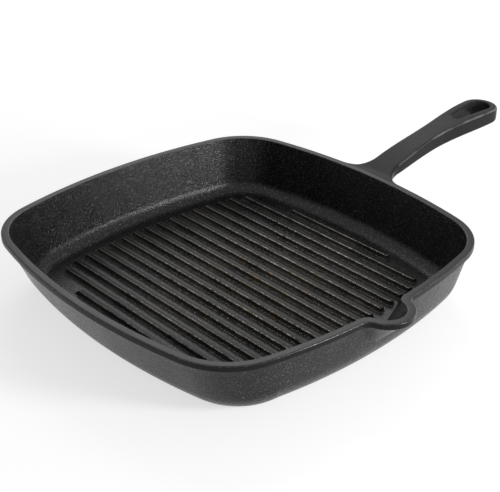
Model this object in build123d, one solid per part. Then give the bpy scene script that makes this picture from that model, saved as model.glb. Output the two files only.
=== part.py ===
from build123d import *
from math import asin, degrees, radians, sin, tan
import os

# Square cast-iron grill pan, in millimetres.
# +Z is up, +X runs along the handle and the pouring lip is on the -Y side.
# The origin is the middle of the pan, on its flat underside.
# The real pan is one casting. It is built whole, with its fillets, and then
# parted along its natural lines, so neighbouring pieces meet face to face.

# Rim, seen from above: four bowed sides and four round corners
rim_half_width = 133.0
rim_side_radius = 400.0
rim_corner_radius = 48.0
rim_height = 47.0
rim_top_width = 5.1
rim_edge_round = 0.9

# Raised band round the outside of the rim
band_height = 4.0
band_step = 2.4

# Flared wall. The toe wall, opposite the handle, leans out further than the others.
wall_flare_angle = 13.2
toe_flare_angle = 23.6
base_corner_radius = 41.0
base_round = 24.0

# Floor
floor_thickness = 6.2
floor_corner_radius = 38.0
floor_cove = 10.0

# Parting planes of the wall, measured inwards from where the corners of the rim begin
corner_margin = 5.0

# Grill ribs, parallel to Y, on a bowed field that keeps these gaps to the edges of the flat floor
rib_pitch = 11.04
rib_height = 3.6
rib_crest_width = 3.7
rib_draft_angle = 5.0
rib_edge_round = 0.8
rib_end_round = 1.0
rib_toe_gap = 10.4
rib_handle_gap = 4.4
rib_lip_gap = 16.3
rib_far_gap = 9.4
rib_field_side_radius = 485.0
rib_field_corner_radius = 26.0

# Pouring lip: a round nose on the rim that runs down the wall as a slanted cone
lip_mouth_radius = 13.0
lip_centre_setback = 2.7
lip_root_round = 7.0
lip_inner_round = 4.0
lip_bowl_foot_radius = 3.0
lip_bowl_foot_rise = 2.0
lip_shell_foot_radius = 4.0
lip_shell_foot_rise = 2.5
lip_shell_round = 6.0
lip_foot_inset = 0.5
lip_piece_margin = 10.0

# Handle: its top rises along one arc, its underside along another
handle_shelf = 3.3
handle_length = 139.5
handle_root_half_width = 11.0
handle_waist_offset = 57.0
handle_waist_half_width = 9.5
handle_end_half_width = 14.2
handle_flare_radius = 17.0
handle_top_rise = 18.6
handle_top_bow = 5.6
handle_root_depth = 7.8
handle_tip_depth = 10.2
handle_under_bow = 6.0
handle_top_round = 2.0
handle_under_round = 2.6
handle_root_length = 22.0
handle_end_length = 51.0

# Hanging eye: a drop-shaped slot, wide towards the tip
eye_wide_radius = 8.2
eye_narrow_radius = 4.8
eye_tip_wall = 5.8
eye_length = 40.5
eye_edge_round = 1.3

# A face counts as level where its normal is at least this upright
level_share = 0.5

# Degrees in a quarter turn
quarter_turn = 90.0

# How far a cutting tool runs past what it cuts
overrun = 5.0

# Places worked out from the sizes above
span = rim_half_width + handle_length
wide_span = 2 * span
band_foot = rim_height - band_height
wall_top_half = rim_half_width - band_step
wall_run = band_foot * tan(radians(wall_flare_angle))
toe_run = band_foot * tan(radians(toe_flare_angle))
cavity_half = rim_half_width - rim_top_width
cavity_depth = rim_height - floor_thickness
cavity_run = cavity_depth * tan(radians(wall_flare_angle))
cavity_toe_run = cavity_depth * tan(radians(toe_flare_angle))
floor_side = cavity_half - cavity_run - floor_cove
floor_toe = cavity_half - cavity_toe_run - floor_cove
wall_part = rim_half_width - rim_corner_radius - corner_margin
lip_nose_radius = lip_mouth_radius + rim_top_width
lip_centre_y = lip_centre_setback - rim_half_width
base_round_top = base_round * (1 - sin(radians(wall_flare_angle)))
lip_shell_foot_z = base_round_top + lip_shell_foot_rise
lip_bowl_foot_z = lip_shell_foot_z + lip_bowl_foot_rise
lip_shell_lean = (band_foot - lip_shell_foot_z) * tan(radians(wall_flare_angle))
lip_bowl_lean = (rim_height - lip_bowl_foot_z) * tan(radians(wall_flare_angle))
lip_bowl_foot_y = rim_top_width + lip_bowl_lean + lip_bowl_foot_radius + lip_foot_inset - rim_half_width
lip_shell_foot_y = band_step + lip_shell_lean + lip_shell_foot_radius + lip_foot_inset - rim_half_width
handle_tip_x = rim_half_width + handle_length
handle_start_x = rim_half_width + handle_shelf
handle_flare_x = rim_half_width + handle_flare_radius
handle_waist_x = rim_half_width + handle_waist_offset
handle_swell_x = handle_tip_x - handle_end_half_width
eye_tip_x = handle_tip_x - eye_tip_wall


def bowed_outline(left, right, front, back, side_radius, corner_radius):
    """Flat shape with four bowed sides, given by their reach, and round corners."""
    outline = Pos(right - side_radius, 0) * Rot(0, 0, 180) * Circle(side_radius)
    outline &= Pos(side_radius - left, 0) * Circle(side_radius)
    outline &= Pos(0, back - side_radius) * Circle(side_radius)
    outline &= Pos(0, side_radius - front) * Circle(side_radius)
    return fillet(outline.vertices(), corner_radius)


def even_outline(half, side_radius, corner_radius):
    """Bowed outline that reaches equally far on all four sides."""
    return bowed_outline(half, half, half, half, side_radius, corner_radius)


def on_lip(edge):
    """True for an edge of the lip, above its foot and beyond the straight of the wall."""
    middle = edge.center()
    beside = abs(middle.X) < lip_nose_radius
    return beside and middle.Y < lip_bowl_foot_y and middle.Z > lip_shell_foot_z


def wall_body():
    """Outside of the flared wall and base, solid, with the round that meets the base."""
    top = even_outline(wall_top_half, rim_side_radius - band_step, rim_corner_radius - band_step)
    side = wall_top_half - wall_run
    toe = wall_top_half - toe_run
    foot = bowed_outline(toe, side, side, side, rim_side_radius - wall_run, base_corner_radius)
    body = loft([foot, Pos(0, 0, band_foot) * top], ruled=True)
    return fillet(body.faces().sort_by(Axis.Z)[0].edges(), base_round)


def band_body():
    """Rim band, solid, with the round nose of the pouring lip."""
    outline = even_outline(rim_half_width, rim_side_radius, rim_corner_radius)
    nose = Pos(0, lip_centre_y) * Circle(lip_nose_radius)
    joined = outline + nose
    roots = joined.vertices().filter_by(lambda v: abs(v.X) < lip_nose_radius + lip_root_round)
    roots = roots.filter_by(lambda v: v.Y < 0)
    joined = fillet(roots.group_by(Axis.Y)[-1], lip_root_round)
    return extrude(Pos(0, 0, band_foot) * joined, band_height)


def lip_shell():
    """Outside of the pouring lip below the band: a slanted cone that sinks into the wall."""
    head = Pos(0, lip_centre_y, band_foot) * Rot(0, 0, 90) * Circle(lip_nose_radius - band_step)
    foot = Pos(0, lip_shell_foot_y, lip_shell_foot_z) * Rot(0, 0, 90) * Circle(lip_shell_foot_radius)
    return loft([foot, head], ruled=True)


def cavity():
    """Space inside the pan, with the cove round the floor and the bowl of the lip."""
    side = cavity_half - cavity_run
    toe = cavity_half - cavity_toe_run
    foot = bowed_outline(toe, side, side, side, rim_side_radius - rim_top_width, floor_corner_radius)
    mouth = even_outline(cavity_half, rim_side_radius - rim_top_width, rim_corner_radius - rim_top_width)
    space = loft([Pos(0, 0, floor_thickness) * foot, Pos(0, 0, rim_height) * mouth], ruled=True)
    space = fillet(space.faces().sort_by(Axis.Z)[0].edges(), floor_cove)
    bowl_foot = Pos(0, lip_bowl_foot_y, lip_bowl_foot_z) * Rot(0, 0, 90) * Circle(lip_bowl_foot_radius)
    bowl_mouth = Pos(0, lip_centre_y, rim_height) * Rot(0, 0, 90) * Circle(lip_mouth_radius)
    space += loft([bowl_foot, bowl_mouth], ruled=True)
    corners = space.edges().filter_by(lambda e: on_lip(e) and e.center().Z < rim_height)
    return fillet(corners, lip_inner_round)


def pan_body():
    """The pan without its handle and ribs, one solid with the rounds of lip and rim."""
    body = wall_body() + lip_shell()
    seam = body.edges().filter_by(lambda e: on_lip(e) and e.center().Z < band_foot - lip_shell_round)
    body = fillet(seam, lip_shell_round) + band_body() - cavity()
    return fillet(body.faces().sort_by(Axis.Z)[-1].edges(), rim_edge_round)


def handle_plan():
    """Handle seen from above: flared root, narrow waist and round swollen end."""
    inside = (rim_half_width - rim_top_width, handle_root_half_width + handle_flare_radius)
    rim_point = (rim_half_width, handle_root_half_width + handle_flare_radius)
    root_point = (handle_flare_x, handle_root_half_width)
    waist_point = (handle_waist_x, handle_waist_half_width)
    swell_point = (handle_swell_x, handle_end_half_width)
    edge = [
        Line((inside[0], 0), inside),
        Line(inside, rim_point),
        RadiusArc(rim_point, root_point, -handle_flare_radius),
        Spline([root_point, waist_point, swell_point], tangents=[(1, 0), (1, 0)]),
        RadiusArc(swell_point, (handle_tip_x, 0), handle_end_half_width),
    ]
    half = make_face(edge + [Line((handle_tip_x, 0), (inside[0], 0))])
    return half + mirror(half, Plane.XZ) - eye_outline()


def bowed_arc(start, end, bow):
    """Arc between two points whose middle stands up from the chord by the bow."""
    chord = Vector(*end) - Vector(*start)
    up = Vector(-chord.Y, chord.X).normalized()
    middle = (Vector(*start) + Vector(*end)) * 0.5 + up * bow
    return ThreePointArc(start, middle, end)


def handle_side():
    """Handle seen from the side, in X and Z: both edges rise along an arc."""
    root_x = rim_half_width - rim_top_width
    top_start = (handle_start_x, rim_height)
    top_end = (handle_tip_x, rim_height + handle_top_rise)
    under_start = (rim_half_width, rim_height - handle_root_depth)
    under_end = (handle_tip_x, rim_height + handle_top_rise - handle_tip_depth)
    past_x = handle_tip_x + overrun
    edges = [
        Line((root_x, rim_height), top_start),
        bowed_arc(top_start, top_end, handle_top_bow),
        Line(top_end, (past_x, top_end[1])),
        Line((past_x, top_end[1]), (past_x, under_end[1])),
        Line((past_x, under_end[1]), under_end),
        bowed_arc(under_start, under_end, handle_under_bow),
        Line(under_start, (root_x, under_start[1])),
        Line((root_x, under_start[1]), (root_x, rim_height)),
    ]
    return make_face(edges)


def handle_blank():
    """Handle without its edge rounds: plan and side view crossed."""
    tall = rim_height + handle_top_rise + overrun
    plan = extrude(handle_plan(), tall)
    wide = handle_root_half_width + handle_flare_radius + overrun
    side = extrude(Plane.XZ * handle_side(), wide, both=True)
    return plan & side


def eye_outline():
    """Drop-shaped slot of the hanging eye, wide towards the tip."""
    wide_x = eye_tip_x - eye_wide_radius
    narrow_x = eye_tip_x - eye_length + eye_narrow_radius
    lean = degrees(asin((eye_wide_radius - eye_narrow_radius) / (wide_x - narrow_x)))
    wide = CenterArc((wide_x, 0), eye_wide_radius, -quarter_turn - lean, 2 * (quarter_turn + lean))
    narrow = CenterArc((narrow_x, 0), eye_narrow_radius, quarter_turn + lean, 2 * (quarter_turn - lean))
    sides = [Line(wide @ 1, narrow @ 0), Line(narrow @ 1, wide @ 0)]
    return make_face([wide, narrow] + sides)


def rim_of(solid, side):
    """Edges between the faces that look up (side 1) or down (side -1) and the upright faces."""
    level = solid.faces().filter_by(lambda f: f.normal_at().Z * side > level_share)
    upright = solid.faces().filter_by(lambda f: abs(f.normal_at().Z) < level_share)
    return level.edges() & upright.edges()


def handle_body():
    """Whole handle with its rounded edges and the slot of the hanging eye."""
    body = handle_blank()
    body = fillet(rim_of(body, 1).filter_by(in_eye), eye_edge_round)
    body = fillet(rim_of(body, -1).filter_by(in_eye), eye_edge_round)
    top = rim_of(body, 1).filter_by(lambda e: e.center().X > rim_half_width and not in_eye(e))
    body = fillet(top, handle_top_round)
    under = rim_of(body, -1).filter_by(lambda e: e.center().X > rim_half_width and not in_eye(e))
    body = fillet(under, handle_under_round)
    rim_middle = rim_half_width - rim_top_width / 2
    inside = Box(rim_middle, wide_span, band_height, align=(Align.MIN, Align.CENTER, Align.MIN))
    return body - Pos(0, 0, band_foot) * inside


def in_eye(edge):
    """True for an edge round the slot of the hanging eye."""
    middle = edge.center()
    along = eye_tip_x - eye_length - eye_edge_round < middle.X < eye_tip_x + eye_edge_round
    return along and abs(middle.Y) < eye_wide_radius + eye_edge_round


def block(left, right, front, back, low, high):
    """Upright box between six planes."""
    box = Box(right - left, back - front, high - low, align=(Align.MIN, Align.MIN, Align.MIN))
    return Pos(left, front, low) * box


def lip_zone():
    """Space that the lip piece takes out of the band and the wall."""
    reach = lip_nose_radius + lip_root_round + lip_piece_margin
    back = cavity_run - cavity_half
    return block(-reach, reach, -span, back, lip_shell_foot_z, rim_height + overrun)


def floor_zone():
    """Space inside the foot of the cove, where the floor is flat."""
    side_radius = rim_side_radius - rim_top_width - floor_cove
    corner_radius = floor_corner_radius - floor_cove
    outline = bowed_outline(floor_toe, floor_side, floor_side, floor_side, side_radius, corner_radius)
    return extrude(outline, floor_thickness)


def rib_field(half, middle_x):
    """Outline, seen from above, that the rib ends reach."""
    front = floor_side - rib_lip_gap
    back = floor_side - rib_far_gap
    outline = bowed_outline(half, half, front, back, rib_field_side_radius, rib_field_corner_radius)
    return Pos(middle_x, 0) * outline


def grill_rib(x, field):
    """Straight rib on the floor at one x, as long as the field is there, with drafted sides."""
    line = Line((x, -span), (x, span)) & field
    front = line.bounding_box().min.Y
    back = line.bounding_box().max.Y
    foot_width = rib_crest_width + 2 * rib_height * tan(radians(rib_draft_angle))
    foot = Rectangle(foot_width, back - front)
    foot = fillet(foot.vertices(), rib_end_round)
    rib = extrude(foot, rib_height, taper=rib_draft_angle)
    rib = fillet(rib.faces().sort_by(Axis.Z)[-1].edges(), rib_edge_round)
    return Pos(x, (front + back) / 2, floor_thickness) * rib


def wall_pieces(ring):
    """Wall ring parted into four bowed sides and four round corners."""
    middle = (-wall_part, wall_part)
    ends = {"toe": (-span, -wall_part), "handle": (wall_part, span)}
    flanks = {"lip": (-span, -wall_part), "far": (wall_part, span)}
    zones = {f"wall_{name}": (end, middle) for name, end in ends.items()}
    zones.update({f"wall_{name}": (middle, flank) for name, flank in flanks.items()})
    for end_name, end in ends.items():
        for flank_name, flank in flanks.items():
            zones[f"corner_{end_name}_{flank_name}"] = (end, flank)
    return {name: ring & block(*x, *y, -overrun, band_foot) for name, (x, y) in zones.items()}


def pan_pieces():
    """Floor, wall, rim band and pouring lip, parted from one solid."""
    pan = pan_body()
    floor = floor_zone()
    lip = lip_zone()
    above = block(-span, span, -span, span, band_foot, rim_height + overrun)
    rest = pan - lip
    pieces = {"pan_floor": pan & floor, "rim_band": rest & above, "pour_lip": pan & lip}
    pieces.update(wall_pieces(rest - floor))
    return pan, pieces


def handle_pieces(pan):
    """Root, shank and hanging eye, parted from the handle where it leaves the pan."""
    handle = handle_body() - pan
    root_end = rim_half_width + handle_root_length
    eye_start = handle_tip_x - handle_end_length
    top = rim_height + handle_top_rise + overrun
    return {
        "handle_root": handle & block(0, root_end, -span, span, 0, top),
        "handle_shank": handle & block(root_end, eye_start, -span, span, 0, top),
        "hanging_eye": handle & block(eye_start, handle_tip_x + overrun, -span, span, 0, top),
    }


def rib_pieces():
    """The grill ribs, evenly spaced across the field."""
    low_x = rib_toe_gap - floor_toe
    high_x = floor_side - rib_handle_gap
    middle_x = (low_x + high_x) / 2
    count = int((high_x - low_x - rib_crest_width) / rib_pitch) + 1
    first_x = middle_x - rib_pitch * (count - 1) / 2
    field = rib_field(high_x - middle_x, middle_x)
    pieces = {}
    for number in range(count):
        x = first_x + number * rib_pitch
        pieces[f"grill_rib_{number + 1:02d}"] = grill_rib(x, field)
    return pieces


def build():
    """All pieces by name."""
    pan, pieces = pan_pieces()
    pieces.update(handle_pieces(pan))
    pieces.update(rib_pieces())
    return pieces


if __name__ == "__main__":
    os.makedirs("parts", exist_ok=True)
    for name, piece in build().items():
        solid = piece.solids()
        print(name, "solids", len(solid), "volume", round(piece.volume))
        export_step(solid[0] if len(solid) == 1 else piece, f"parts/{name}.step")
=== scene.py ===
"""Square cast-iron grill pan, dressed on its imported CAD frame.

The shapes are worked out in millimetres in the frame of the CAD model and written to the meshes in metres.
"""

import logging
import math
from collections.abc import Callable
from dataclasses import dataclass
from enum import Enum

import bmesh
import bpy
from mathutils import Matrix, Vector

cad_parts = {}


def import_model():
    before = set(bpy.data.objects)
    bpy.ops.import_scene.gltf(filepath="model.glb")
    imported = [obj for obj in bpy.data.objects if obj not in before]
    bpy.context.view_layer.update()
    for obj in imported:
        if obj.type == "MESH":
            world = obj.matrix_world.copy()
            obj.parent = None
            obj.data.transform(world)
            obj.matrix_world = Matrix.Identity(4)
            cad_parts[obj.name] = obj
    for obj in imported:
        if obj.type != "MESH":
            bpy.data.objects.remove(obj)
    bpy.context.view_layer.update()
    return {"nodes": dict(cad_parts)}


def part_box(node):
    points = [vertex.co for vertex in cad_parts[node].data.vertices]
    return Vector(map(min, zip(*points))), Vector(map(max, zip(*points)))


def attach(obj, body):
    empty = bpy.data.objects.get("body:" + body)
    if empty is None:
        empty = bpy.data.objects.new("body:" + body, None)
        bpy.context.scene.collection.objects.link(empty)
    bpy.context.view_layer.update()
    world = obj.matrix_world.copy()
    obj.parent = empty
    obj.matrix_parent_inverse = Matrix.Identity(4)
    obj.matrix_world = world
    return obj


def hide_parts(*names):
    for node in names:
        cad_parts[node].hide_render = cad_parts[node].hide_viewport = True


LOG = logging.getLogger("grill_pan")
MM = 0.001
NEARLY = 0.001
TINY = 1e-9
QUARTER = math.pi / 2
BODY = "root"
# Edge colour attribute: real wear on the rim's edges and the rib crests, and a painted highlight on the rib
# crests, the rib feet and the handle's upper edges.
WEAR_AND_HIGHLIGHT = "edge_wear_and_highlight"

Plan = tuple[float, float]
Point = tuple[float, float, float]
Colour = tuple[float, float, float]
Face = tuple[int, ...]
Socket = bpy.types.NodeSocket
Inputs = dict[int | str, object]


class Slot(Enum):
    """Material slots of the record."""

    FLOOR = "seasoned_floor"
    WALL = "cast_wall"
    RIM = "smooth_rim"
    HANDLE = "satin_handle"
    RIBS = "grill_ribs"


Materials = dict[Slot, bpy.types.Material]


def link(name: str, data: bpy.types.ID) -> bpy.types.Object:
    """Makes an object and links it to the scene.

    Args:
        name: Name of the object.
        data: Its mesh, lamp or camera.

    Returns:
        The object.
    """
    made = bpy.data.objects.new(name, data)
    bpy.context.scene.collection.objects.link(made)
    return made


def seat(piece: bpy.types.Object, slot: Slot, nodes: tuple[str, ...], materials: Materials) -> None:
    """Gives a piece its material and its body, and hides the nodes that it stands for.

    Args:
        piece: The finished piece.
        slot: Its material slot.
        nodes: Names of the CAD nodes.
        materials: Material of each slot.
    """
    if not piece.data.materials:
        piece.data.materials.append(materials[slot])
    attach(piece, BODY)
    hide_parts(*nodes)
    LOG.info("built %s: %d faces, stands for %d nodes", piece.name, len(piece.data.polygons), len(nodes))


@dataclass(frozen=True)
class Wiring:
    """Node tree that is filled by short calls."""

    tree: bpy.types.NodeTree
    mix_inputs: tuple[int, int] = (6, 7)
    mix_output: int = 2
    noise_roughness: float = 0.55

    def node(self, kind: str, inputs: Inputs | None = None, **settings: object) -> bpy.types.Node:
        """Adds a node.

        Args:
            kind: Blender's name of the node's type.
            inputs: Socket or value for each input, by its name or number. None leaves the input as it is.
            **settings: Settings of the node itself.

        Returns:
            The node.
        """
        node = self.tree.nodes.new(kind)
        for name, value in settings.items():
            setattr(node, name, value)
        for key, value in (inputs or {}).items():
            if value is not None:
                self.put(node.inputs[key], value)
        return node

    def put(self, target: Socket, value: object) -> None:
        """Links a socket to an input, or gives the input a value.

        Args:
            target: The input.
            value: Socket or value.
        """
        if isinstance(value, bpy.types.NodeSocket):
            self.tree.links.new(value, target)
        else:
            target.default_value = value

    def math(self, operation: str, first: Socket, second: Socket | float) -> Socket:
        """Adds a sum, difference, product or larger value of two sockets."""
        return self.node("ShaderNodeMath", {0: first, 1: second}, operation=operation).outputs[0]

    def mix(self, share: Socket, first: Socket | Colour, second: Socket | Colour) -> Socket:
        """Goes from one colour to another by a share.

        Args:
            share: Socket with the share of the second colour.
            first: Colour or socket at share 0.
            second: Colour or socket at share 1.

        Returns:
            The socket with the colour.
        """
        inputs = {0: share}
        for number, colour in zip(self.mix_inputs, (first, second)):
            inputs[number] = colour if isinstance(colour, bpy.types.NodeSocket) else (*colour, 1.0)
        return self.node("ShaderNodeMix", inputs, data_type="RGBA").outputs[self.mix_output]

    def ramp(self, value: Socket, low: float, high: float, to_low: float, to_high: float) -> Socket:
        """Adds a smooth step that goes from one result to another as the value goes from low to high."""
        inputs = {"Value": value, "From Min": low, "From Max": high, "To Min": to_low, "To Max": to_high}
        return self.node("ShaderNodeMapRange", inputs, interpolation_type="SMOOTHSTEP").outputs["Result"]

    def noise(self, place: Socket, size: float, detail: float) -> Socket:
        """Adds a noise whose grains are about one size, in millimetres, with octaves of finer noise."""
        sizes = {"Scale": 1.0 / (size * MM), "Detail": detail, "Roughness": self.noise_roughness}
        return self.node("ShaderNodeTexNoise", {"Vector": place, **sizes}).outputs["Fac"]


def new_material(name: str) -> tuple[bpy.types.Material, Wiring, bpy.types.Node]:
    """Makes a material.

    Args:
        name: Its name.

    Returns:
        The material, its wiring and its Principled shader.
    """
    material = bpy.data.materials.new(name)
    material.use_nodes = True
    return material, Wiring(material.node_tree), material.node_tree.nodes["Principled BSDF"]


# Each step begins and ends at its first two numbers, and goes from the third to the fourth.
WEAR_AND_HIGHLIGHT_PATCHES = (0.40, 0.62, 0.2, 0.9)
SPECKS = (0.56, 0.74, 0.0, 1.0)
WARM_PATCHES = (0.45, 0.60, 0.1, 1.0)
WARM_FADE = (0.3, 1.0, 1.0, 0.0)
BARE_FADE = (0.7, 1.3, 1.0, 0.45)
NOISE_RANGE = (0.3, 0.7)


@dataclass(frozen=True)
class Pattern:
    """Sockets that the parts of a finish share."""

    place: Socket
    cloud: Socket
    grain: Socket
    fine: Socket
    grainy: Socket


@dataclass(frozen=True)
class IronFinish:
    """Black seasoned cast iron with the grain that the sand mould leaves, with its lengths in millimetres."""

    name: str
    colour: Colour
    wear_and_highlight_colour: Colour
    roughness: float
    specular: float
    grain_size: float
    grain_depth: float
    fine_size: float
    fine_depth: float
    speckle: float
    speck_size: float
    edge_speckle: float = 0.4
    wear_and_highlight_lift: float = 0.10
    bare_colour: Colour = (0.30, 0.29, 0.28)
    roughness_spread: float = 0.05
    cloud_size: float = 28.0
    smooth_above: float = 1000.0
    smooth_grain: float = 0.12
    smooth_border: float = 0.3
    warm_reach: float = 0.0
    warm_colour: Colour = (0.42, 0.29, 0.16)
    warm_middle: Point = (10.0, -15.0, 6.0)
    warm_patch: float = 6.0

    def material(self) -> bpy.types.Material:
        """Builds the node material.

        Returns:
            The material, new in the file.
        """
        material, wiring, shader = new_material(self.name)
        place = wiring.node("ShaderNodeTexCoord").outputs["Object"]
        height = wiring.node("ShaderNodeSeparateXYZ", {"Vector": place}).outputs["Z"]
        level, border = self.smooth_above * MM, self.smooth_border * MM
        pattern = Pattern(
            place=place,
            cloud=wiring.noise(place, self.cloud_size, 3.0),
            grain=wiring.noise(place, self.grain_size, 2.0),
            fine=wiring.noise(place, self.fine_size, 1.0),
            grainy=wiring.ramp(height, level - border, level + border, 1.0, self.smooth_grain),
        )
        wiring.put(shader.inputs["Specular IOR Level"], self.specular)
        self._colour(wiring, shader, pattern)
        self._gloss(wiring, shader, pattern)
        self._relief(wiring, shader, pattern)
        return material

    def _colour(self, wiring: Wiring, shader: bpy.types.Node, pattern: Pattern) -> None:
        """Blends the black of the seasoning with worn edges and painted highlights, and with bare, glinting
        grains of iron.

        Args:
            wiring: Wiring of the material.
            shader: Principled shader.
            pattern: Shared sockets.
        """
        wear_and_highlight = wiring.node("ShaderNodeAttribute", attribute_name=WEAR_AND_HIGHLIGHT).outputs["Fac"]
        # Worn edges, and painted highlights on the handle's edges and the ribs' crests and feet, turn towards
        # the lighter edge colour in patches.
        wear_and_highlight_share = wiring.math("MULTIPLY", wear_and_highlight, wiring.ramp(pattern.cloud, *WEAR_AND_HIGHLIGHT_PATCHES))
        black = wiring.mix(wear_and_highlight_share, self.colour, self.wear_and_highlight_colour)
        inputs = {0: wear_and_highlight, 1: self.wear_and_highlight_lift, 2: wiring.noise(pattern.place, self.speck_size, 1.0)}
        lifted = wiring.node("ShaderNodeMath", inputs, operation="MULTIPLY_ADD").outputs[0]
        plain = wiring.ramp(pattern.grainy, 0.0, 1.0, 0.0, self.speckle)
        wear_and_highlight_specks = wiring.ramp(wear_and_highlight, 0.0, 1.0, 0.0, self.edge_speckle)
        specks = wiring.ramp(lifted, *SPECKS)
        bare = wiring.math("MULTIPLY", specks, wiring.math("MAXIMUM", plain, wear_and_highlight_specks))
        iron = self.bare_colour
        if self.warm_reach > 0:
            inputs = {0: pattern.place, 1: [value * MM for value in self.warm_middle]}
            apart = wiring.node("ShaderNodeVectorMath", inputs, operation="DISTANCE").outputs["Value"]
            near, kept = (self._fade(wiring, apart, fade) for fade in (WARM_FADE, BARE_FADE))
            patches = wiring.ramp(wiring.noise(pattern.place, self.warm_patch, 2.0), *WARM_PATCHES)
            iron = wiring.mix(wiring.math("MULTIPLY", near, patches), self.bare_colour, self.warm_colour)
            bare = wiring.math("MULTIPLY", bare, kept)
        wiring.put(shader.inputs["Base Color"], wiring.mix(bare, black, iron))
        wiring.put(shader.inputs["Metallic"], bare)

    def _fade(self, wiring: Wiring, apart: Socket, fade: tuple[float, ...]) -> Socket:
        """Adds a step over the distance from the middle of the warm tint.

        Args:
            wiring: Wiring of the material.
            apart: Socket with the distance.
            fade: Step whose ends are shares of the tint's reach.

        Returns:
            The socket with the result.
        """
        low, high, near, far = fade
        reach = self.warm_reach * MM
        return wiring.ramp(apart, low * reach, high * reach, near, far)

    def _gloss(self, wiring: Wiring, shader: bpy.types.Node, pattern: Pattern) -> None:
        """Varies the roughness with the slow noise and the grain.

        Args:
            wiring: Wiring of the material.
            shader: Principled shader.
            pattern: Shared sockets.
        """
        smoothest = self.roughness - self.roughness_spread
        slow = wiring.ramp(pattern.cloud, *NOISE_RANGE, smoothest, self.roughness)
        quick = wiring.ramp(pattern.grain, *NOISE_RANGE, 0.0, self.roughness_spread)
        wiring.put(shader.inputs["Roughness"], wiring.math("ADD", slow, quick))

    def _relief(self, wiring: Wiring, shader: bpy.types.Node, pattern: Pattern) -> None:
        """Adds the relief of the sand grain and of the finer grain on it.

        Args:
            wiring: Wiring of the material.
            shader: Principled shader.
            pattern: Shared sockets.
        """
        normal = None
        for height, depth in ((pattern.grain, self.grain_depth), (pattern.fine, self.fine_depth)):
            inputs = {"Distance": depth * MM, "Strength": pattern.grainy, "Height": height, "Normal": normal}
            normal = wiring.node("ShaderNodeBump", inputs).outputs["Normal"]
        wiring.put(shader.inputs["Normal"], normal)


FINISHES = {
    Slot.FLOOR: IronFinish(
        "seasoned_floor_iron", colour=(0.003, 0.003, 0.003), wear_and_highlight_colour=(0.060, 0.058, 0.055),
        roughness=0.28, specular=0.30, grain_size=1.1, grain_depth=0.20, fine_size=0.55, fine_depth=0.08,
        speckle=0.08, speck_size=0.9, warm_reach=75.0,
    ),
    Slot.WALL: IronFinish(
        "cast_wall_iron", colour=(0.004, 0.004, 0.004), wear_and_highlight_colour=(0.045, 0.045, 0.047),
        roughness=0.27, specular=0.23, grain_size=1.0, grain_depth=0.22, fine_size=0.55, fine_depth=0.11,
        speckle=0.45, speck_size=0.85,
    ),
    Slot.RIM: IronFinish(
        "smooth_rim_iron", colour=(0.006, 0.006, 0.006), wear_and_highlight_colour=(0.085, 0.081, 0.075),
        roughness=0.30, specular=0.19, grain_size=1.0, grain_depth=0.22, fine_size=0.55, fine_depth=0.11,
        speckle=0.42, speck_size=0.85, smooth_above=42.6,
    ),
    # The handle's lighter edge colour is a painted highlight along the grip's upper edges.
    Slot.HANDLE: IronFinish(
        "satin_handle_iron", colour=(0.022, 0.022, 0.022), wear_and_highlight_colour=(0.22, 0.215, 0.21),
        roughness=0.32, specular=0.06, grain_size=1.6, grain_depth=0.06, fine_size=0.7, fine_depth=0.02,
        speckle=0.08, speck_size=1.0, edge_speckle=0.1,
    ),
    # The ribs' lighter edge colour is real wear on the crests with a painted highlight there, and a painted
    # highlight at the rib feet.
    Slot.RIBS: IronFinish(
        "grill_rib_iron", colour=(0.010, 0.010, 0.010), wear_and_highlight_colour=(0.150, 0.141, 0.128),
        roughness=0.34, specular=0.10, grain_size=1.0, grain_depth=0.30, fine_size=0.6, fine_depth=0.20,
        speckle=0.25, speck_size=0.8, edge_speckle=0.95, bare_colour=(0.48, 0.46, 0.43), smooth_above=9.5,
        warm_reach=85.0,
    ),
}


@dataclass(frozen=True)
class PhotoCamera:
    """Camera that looks at the pan as the photograph does, in millimetres, with its clipping in metres."""

    azimuth: float = -43.12368
    elevation: float = 29.14311
    distance: float = 793.182
    target: Point = (24.943, 13.882, 20.0)
    focal_pixels: float = 1142.557
    image_width: float = 500.0
    sensor_width: float = 36.0
    roll: float = 0.49549
    nearest: float = 0.01
    farthest: float = 50.0

    def build(self) -> None:
        """Places the camera and makes it the scene's."""
        turn, rise, roll = (math.radians(angle) for angle in (self.azimuth, self.elevation, self.roll))
        back = Vector((math.sin(turn) * math.cos(rise), -math.cos(turn) * math.cos(rise), math.sin(rise)))
        right = (-back).cross(Vector((0, 0, 1))).normalized()
        up = right.cross(-back)
        right_rolled = right * math.cos(roll) + up * math.sin(roll)
        up_rolled = -right * math.sin(roll) + up * math.cos(roll)
        lens = bpy.data.cameras.new("photo_camera")
        lens.sensor_fit = "HORIZONTAL"
        lens.sensor_width = self.sensor_width
        lens.lens = self.focal_pixels / self.image_width * self.sensor_width
        lens.clip_start, lens.clip_end = self.nearest, self.farthest
        camera = link("photo_camera", lens)
        turned = Matrix((right_rolled, up_rolled, back)).transposed().to_4x4()
        turned.translation = (Vector(self.target) + back * self.distance) * MM
        camera.matrix_world = turned
        bpy.context.scene.camera = camera


@dataclass(frozen=True)
class Softbox:
    """Square studio lamp that looks at the pan, with its lengths in metres."""

    name: str
    azimuth: float
    elevation: float
    distance: float
    width: float
    watts: float

    def build(self) -> None:
        """Hangs the lamp round the pan."""
        turn, rise = math.radians(self.azimuth), math.radians(self.elevation)
        toward = Vector((math.cos(turn) * math.cos(rise), math.sin(turn) * math.cos(rise), math.sin(rise)))
        lamp = bpy.data.lights.new(self.name, "AREA")
        lamp.shape = "SQUARE"
        lamp.size = self.width
        lamp.energy = self.watts
        holder = link(self.name, lamp)
        holder.location = toward * self.distance
        holder.rotation_euler = toward.to_track_quat("Z", "Y").to_euler()


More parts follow.
